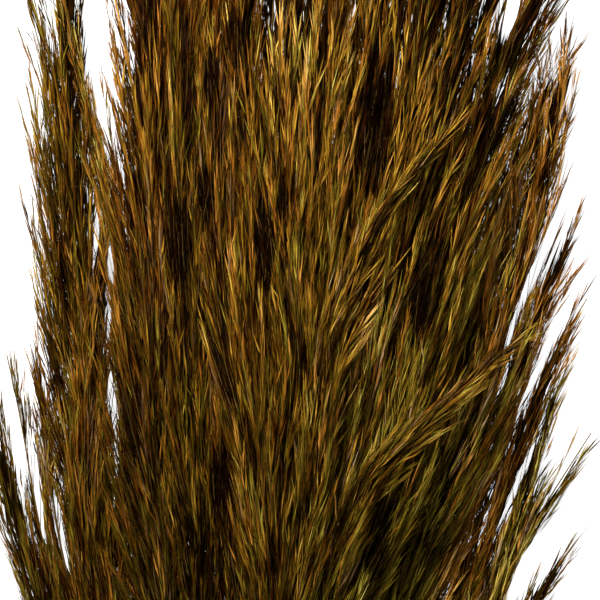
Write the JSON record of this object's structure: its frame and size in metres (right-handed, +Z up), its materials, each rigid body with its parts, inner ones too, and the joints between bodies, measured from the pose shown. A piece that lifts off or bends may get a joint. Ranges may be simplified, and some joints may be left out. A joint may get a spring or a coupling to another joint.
{
  "type": "bundle of dried plume reed",
  "caption": "Dried plume reeds with feathery golden-brown seed heads, drawn together by a twine tie and lying on their side in a fan.",
  "frame": {"origin": "middle of the bundle's footprint, on the surface that it lies on", "axes": "+Y along the bundle from the cut ends to the plumes, +X across it, +Z up from the surface"},
  "size_m": [0.3168, 0.9836, 0.0791],
  "materials": {
    "reed_golden": "dry straw and golden spikelets, satin",
    "reed_rust": "dry rust-brown spikelets, satin",
    "reed_olive": "dry olive-brown spikelets, satin",
    "twine": "rough natural twine"
  },
  "bodies": {
    "root": {"reed_01": "reed_olive", "reed_02": "reed_olive", "reed_03": "reed_rust", "reed_04": "reed_golden", "reed_05": "reed_rust", "reed_06": "reed_rust", "reed_07": "reed_rust", "reed_08": "reed_golden", "reed_09": "reed_rust", "reed_10": "reed_golden", "reed_11": "reed_golden", "reed_12": "reed_golden", "reed_13": "reed_golden", "reed_14": "reed_golden", "reed_15": "reed_olive", "reed_16": "reed_olive", "reed_17": "reed_rust", "reed_18": "reed_golden", "reed_19": "reed_golden", "reed_20": "reed_golden", "reed_21": "reed_olive", "reed_22": "reed_golden", "reed_23": "reed_golden", "reed_24": "reed_golden", "reed_25": "reed_golden", "reed_26": "reed_olive", "reed_27": "reed_olive", "reed_28": "reed_rust", "reed_29": "reed_golden", "reed_30": "reed_olive", "reed_31": "reed_golden", "reed_32": "reed_rust", "reed_33": "reed_rust", "reed_34": "reed_golden", "reed_35": "reed_olive", "reed_36": "reed_golden", "reed_37": "reed_rust", "reed_38": "reed_rust", "reed_39": "reed_golden", "reed_40": "reed_olive", "reed_41": "reed_golden", "reed_42": "reed_rust", "reed_43": "reed_rust", "reed_44": "reed_golden", "reed_45": "reed_olive", "twine_tie": "twine"}
  },
  "joints": []
}
